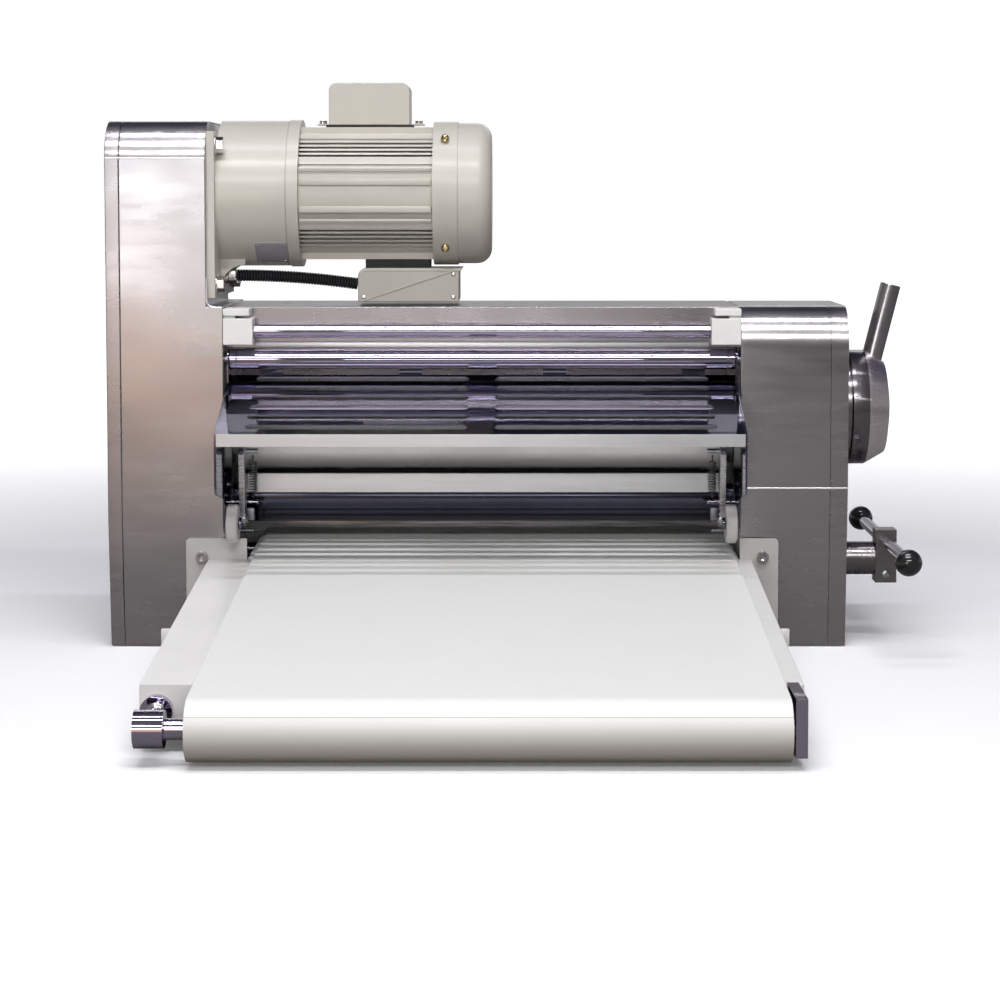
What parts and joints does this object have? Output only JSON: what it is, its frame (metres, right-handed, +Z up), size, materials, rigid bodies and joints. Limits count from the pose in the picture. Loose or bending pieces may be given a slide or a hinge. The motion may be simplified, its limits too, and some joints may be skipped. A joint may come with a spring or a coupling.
{
  "type": "motor-driven dough sheeter",
  "caption": "Bench-top motor-driven dough sheeter: sheeting rollers between stainless housings, a slotted hinged guard, a gap dial with lever, a gearmotor on top and a white outfeed belt.",
  "frame": {"origin": "table level, half way between the two housings, under the plane of the sheeting rollers' axes", "axes": "+X along the rollers towards the gap dial, -Y towards the outfeed, +Z up"},
  "size_m": [0.8302, 0.7935, 0.589],
  "materials": {
    "stainless": "brushed",
    "polished": "polished",
    "guard_steel": "polished",
    "dark_steel": "machined",
    "cream_paint": "satin",
    "white_paint": "satin",
    "white_plastic": "satin",
    "belt": "matte",
    "black_rubber": "matte",
    "black_plastic": "gloss",
    "conduit": "satin",
    "brass": "satin"
  },
  "bodies": {
    "frame": {"base_plate": "dark_steel", "rubber_feet": "black_rubber", "drive_frame_plate": "stainless", "dial_frame_plate": "stainless", "drive_shell": "stainless", "dial_shell": "stainless", "drive_side_cover": "stainless", "dial_side_cover": "stainless", "top_cover": "stainless", "tie_bars": "stainless", "feed_bar_blocks": "white_plastic", "rear_feed_plate": "stainless", "gearbox": "cream_paint", "motor_stator": "cream_paint", "motor_end_bell": "cream_paint", "fan_cover": "cream_paint", "capacitor_box": "cream_paint", "terminal_box": "cream_paint", "box_gaskets": "black_rubber", "conduit": "conduit", "conduit_glands": "polished", "motor_bolts": "polished", "bushes": "brass", "dial_ring": "stainless", "handle_boss": "stainless", "conveyor_rail_left": "white_paint", "conveyor_rail_right": "white_paint", "slider_bed": "stainless", "mounting_ears": "white_paint", "ear_screws": "polished", "conveyor_belt": "belt", "take_up_blocks": "polished", "drive_belts": "black_rubber", "scraper_pins": "polished"},
    "lower_roller": {"lower_roller": "polished", "lower_gear": "dark_steel", "roller_pulleys": "dark_steel"},
    "upper_carriage": {"bearing_blocks": "dark_steel", "lift_springs": "polished"},
    "upper_roller": {"upper_roller": "polished", "upper_gear": "dark_steel"},
    "gap_dial": {"dial_knob": "stainless", "dial_lever": "stainless", "gap_shaft": "polished"},
    "guard": {"guard_bar": "polished", "guard_panel": "guard_steel", "guard_side_plates": "guard_steel"},
    "guard_disc_left": {"guard_disc_left": "white_plastic"},
    "guard_disc_right": {"guard_disc_right": "white_plastic"},
    "feed_bar": {"feed_bar": "polished"},
    "scraper": {"scraper_blade": "stainless", "scraper_arms": "stainless", "scraper_springs": "polished"},
    "belt_drive_roller": {"belt_drive_roller": "polished"},
    "belt_front_roller": {"belt_front_roller": "polished"},
    "output_pulley": {"output_pulley": "dark_steel"},
    "motor_rotor": {"motor_rotor": "dark_steel"},
    "handle": {"handle_block": "stainless"},
    "tommy_bar": {"tommy_bar": "polished", "ball_knobs": "black_plastic"}
  },
  "joints": [
    {"name": "lower_roller_spin", "type": "hinge", "parent": "frame", "child": "lower_roller", "pos_m": [0, 0, 0.1495], "axis": [1, 0, 0], "continuous": true},
    {"name": "gap_dial_turn", "type": "hinge", "parent": "frame", "child": "gap_dial", "pos_m": [0, -0.025, 0.247], "axis": [1, 0, 0], "range_deg": [-120, 0]},
    {"name": "upper_carriage_lift", "type": "slide", "parent": "frame", "child": "upper_carriage", "axis": [0, 0, 1], "range_m": [-0.00005, 0.00505], "deforming": ["lift_springs"]},
    {"name": "upper_roller_spin", "type": "hinge", "parent": "upper_carriage", "child": "upper_roller", "pos_m": [0, 0, 0.207], "axis": [1, 0, 0], "continuous": true},
    {"name": "guard_swing", "type": "hinge", "parent": "frame", "child": "guard", "pos_m": [0, -0.076, 0.301], "axis": [-1, 0, 0], "range_deg": [0, 70]},
    {"name": "guard_disc_left_spin", "type": "hinge", "parent": "guard", "child": "guard_disc_left", "pos_m": [0, -0.115, 0.134], "axis": [1, 0, 0], "continuous": true},
    {"name": "guard_disc_right_spin", "type": "hinge", "parent": "guard", "child": "guard_disc_right", "pos_m": [0, -0.115, 0.134], "axis": [1, 0, 0], "continuous": true},
    {"name": "feed_bar_spin", "type": "hinge", "parent": "frame", "child": "feed_bar", "pos_m": [0, -0.082, 0.3306], "axis": [1, 0, 0], "continuous": true},
    {"name": "scraper_tilt", "type": "hinge", "parent": "frame", "child": "scraper", "pos_m": [0, -0.07, 0.132], "axis": [1, 0, 0], "range_deg": [0, 8], "stiffness_Nm_per_rad": 5, "springref_deg": -17.19, "deforming": ["scraper_springs"]},
    {"name": "belt_drive_roller_spin", "type": "hinge", "parent": "frame", "child": "belt_drive_roller", "pos_m": [0, 0.07, 0.0805], "axis": [1, 0, 0], "continuous": true},
    {"name": "belt_front_roller_spin", "type": "hinge", "parent": "frame", "child": "belt_front_roller", "pos_m": [0, -0.615, 0.031], "axis": [1, 0, 0], "continuous": true},
    {"name": "output_pulley_spin", "type": "hinge", "parent": "frame", "child": "output_pulley", "pos_m": [0, 0, 0.451], "axis": [1, 0, 0], "continuous": true},
    {"name": "motor_rotor_spin", "type": "hinge", "parent": "frame", "child": "motor_rotor", "pos_m": [0, 0, 0.473], "axis": [1, 0, 0], "continuous": true},
    {"name": "handle_turn", "type": "hinge", "parent": "frame", "child": "handle", "pos_m": [0, -0.043, 0.0878], "axis": [1, 0, 0], "range_deg": [-15, 15]},
    {"name": "tommy_bar_slide", "type": "slide", "parent": "handle", "child": "tommy_bar", "axis": [0, 1, 0], "range_m": [-0.1, 0.1]}
  ],
  "couplings": [
    {"joint": "upper_roller_spin", "follows": "lower_roller_spin", "ratio": -1},
    {"joint": "belt_drive_roller_spin", "follows": "lower_roller_spin", "ratio": 1.275},
    {"joint": "belt_front_roller_spin", "follows": "lower_roller_spin", "ratio": 1.122},
    {"joint": "output_pulley_spin", "follows": "lower_roller_spin", "ratio": 1.5714},
    {"joint": "motor_rotor_spin", "follows": "lower_roller_spin", "ratio": 15.714},
    {"joint": "upper_carriage_lift", "follows": "gap_dial_turn", "m_per_rad": -0.0023873}
  ]
}
